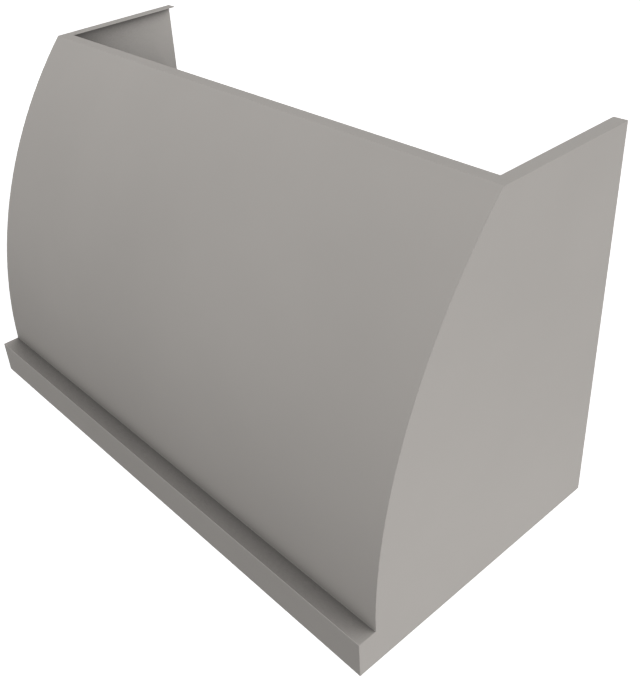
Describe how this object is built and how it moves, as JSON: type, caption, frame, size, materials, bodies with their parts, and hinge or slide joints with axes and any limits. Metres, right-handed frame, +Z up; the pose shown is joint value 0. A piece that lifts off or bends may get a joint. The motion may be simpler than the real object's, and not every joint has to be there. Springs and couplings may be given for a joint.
{
  "type": "wall-mounted range hood",
  "caption": "Wall-mounted range hood: curved painted shell with a straight lip, open top, liner with fold-down baffle filters, lamps, push buttons, twin-wheel blower and duct collar.",
  "frame": {"origin": "on the wall plane, at the middle of the hood's width, level with the underside of the lip", "axes": "+X to the hood's left as seen from the wall, which is the right of someone facing it, +Y into the wall, +Z up"},
  "size_m": [1.2192, 0.6096, 0.762],
  "materials": {
    "shell_paint": "matte warm grey paint",
    "zinc_steel": "dull zinc-coated sheet",
    "fastener_steel": "zinc plated",
    "liner_steel": "brushed stainless sheet",
    "filter_steel": "brushed stainless sheet",
    "bright_steel": "polished rod",
    "magnet_black": "dark sintered",
    "bezel_chrome": "polished",
    "lens_glass": "frosted",
    "cast_aluminium": "satin",
    "fascia_black": "gloss",
    "button_metal": "satin",
    "board_green": "solder mask",
    "case_plastic": "matte",
    "motor_paint": "satin black paint",
    "seal_foam": "closed foam"
  },
  "bodies": {
    "hood": {"blower_box": "zinc_steel", "blower_box_lid": "zinc_steel", "cable_gland": "case_plastic", "capacitor_strap": "zinc_steel", "control_board": "board_green", "control_case": "case_plastic", "control_fascia": "fascia_black", "damper_pin": "bright_steel", "damper_seal": "seal_foam", "discharge_transition": "zinc_steel", "duct_collar": "zinc_steel", "filter_hooks": "zinc_steel", "filter_magnets": "magnet_black", "filter_stop_rail": "zinc_steel", "front_panel": "shell_paint", "hanging_rail": "zinc_steel", "inlet_rings": "zinc_steel", "junction_box": "zinc_steel", "junction_cover": "zinc_steel", "lamp_bezels": "bezel_chrome", "lamp_bodies": "cast_aluminium", "lamp_lenses": "lens_glass", "left_scroll": "zinc_steel", "left_side_panel": "shell_paint", "liner_deck": "liner_steel", "liner_skirt": "liner_steel", "liner_studs": "fastener_steel", "lower_rear_rail": "zinc_steel", "motor_bearings": "bright_steel", "motor_can": "motor_paint", "motor_capacitor": "cast_aluminium", "motor_end_bells": "cast_aluminium", "motor_hanger": "zinc_steel", "plenum": "zinc_steel", "rail_studs": "fastener_steel", "right_scroll": "zinc_steel", "right_side_panel": "shell_paint", "wall_cleat": "zinc_steel"},
    "filter_left": {"filter_left_frame": "filter_steel", "filter_left_baffles": "filter_steel", "filter_left_rod": "bright_steel", "filter_left_handle": "bright_steel"},
    "filter_center": {"filter_center_frame": "filter_steel", "filter_center_baffles": "filter_steel", "filter_center_rod": "bright_steel", "filter_center_handle": "bright_steel"},
    "filter_right": {"filter_right_frame": "filter_steel", "filter_right_baffles": "filter_steel", "filter_right_rod": "bright_steel", "filter_right_handle": "bright_steel"},
    "button_1": {"control_button_1": "button_metal"},
    "button_2": {"control_button_2": "button_metal"},
    "button_3": {"control_button_3": "button_metal"},
    "button_4": {"control_button_4": "button_metal"},
    "button_5": {"control_button_5": "button_metal"},
    "rotor": {"motor_shaft": "bright_steel", "left_wheel": "zinc_steel", "right_wheel": "zinc_steel"},
    "flap_front": {"damper_flap_front": "cast_aluminium"},
    "flap_rear": {"damper_flap_rear": "cast_aluminium"}
  },
  "joints": [
    {"name": "filter_left_fold", "type": "hinge", "parent": "hood", "child": "filter_left", "pos_m": [-0.33207, -0.1141, 0.0685], "axis": [1, 0, 0], "range_deg": [0, 70]},
    {"name": "filter_center_fold", "type": "hinge", "parent": "hood", "child": "filter_center", "pos_m": [0, -0.1141, 0.0685], "axis": [1, 0, 0], "range_deg": [0, 70]},
    {"name": "filter_right_fold", "type": "hinge", "parent": "hood", "child": "filter_right", "pos_m": [0.33207, -0.1141, 0.0685], "axis": [1, 0, 0], "range_deg": [0, 70]},
    {"name": "button_1_press", "type": "slide", "parent": "hood", "child": "button_1", "axis": [0, 0, 1], "range_m": [0, 0.0025], "stiffness_N_per_m": 800, "springref_m": -0.0006},
    {"name": "button_2_press", "type": "slide", "parent": "hood", "child": "button_2", "axis": [0, 0, 1], "range_m": [0, 0.0025], "stiffness_N_per_m": 800, "springref_m": -0.0006},
    {"name": "button_3_press", "type": "slide", "parent": "hood", "child": "button_3", "axis": [0, 0, 1], "range_m": [0, 0.0025], "stiffness_N_per_m": 800, "springref_m": -0.0006},
    {"name": "button_4_press", "type": "slide", "parent": "hood", "child": "button_4", "axis": [0, 0, 1], "range_m": [0, 0.0025], "stiffness_N_per_m": 800, "springref_m": -0.0006},
    {"name": "button_5_press", "type": "slide", "parent": "hood", "child": "button_5", "axis": [0, 0, 1], "range_m": [0, 0.0025], "stiffness_N_per_m": 800, "springref_m": -0.0006},
    {"name": "rotor_spin", "type": "hinge", "parent": "hood", "child": "rotor", "pos_m": [0, -0.2042, 0.2557], "axis": [1, 0, 0], "continuous": true},
    {"name": "flap_front_swing", "type": "hinge", "parent": "hood", "child": "flap_front", "pos_m": [0, -0.145, 0.5107], "axis": [-1, 0, 0], "range_deg": [0, 80]},
    {"name": "flap_rear_swing", "type": "hinge", "parent": "hood", "child": "flap_rear", "pos_m": [0, -0.145, 0.5107], "axis": [1, 0, 0], "range_deg": [0, 80]}
  ]
}
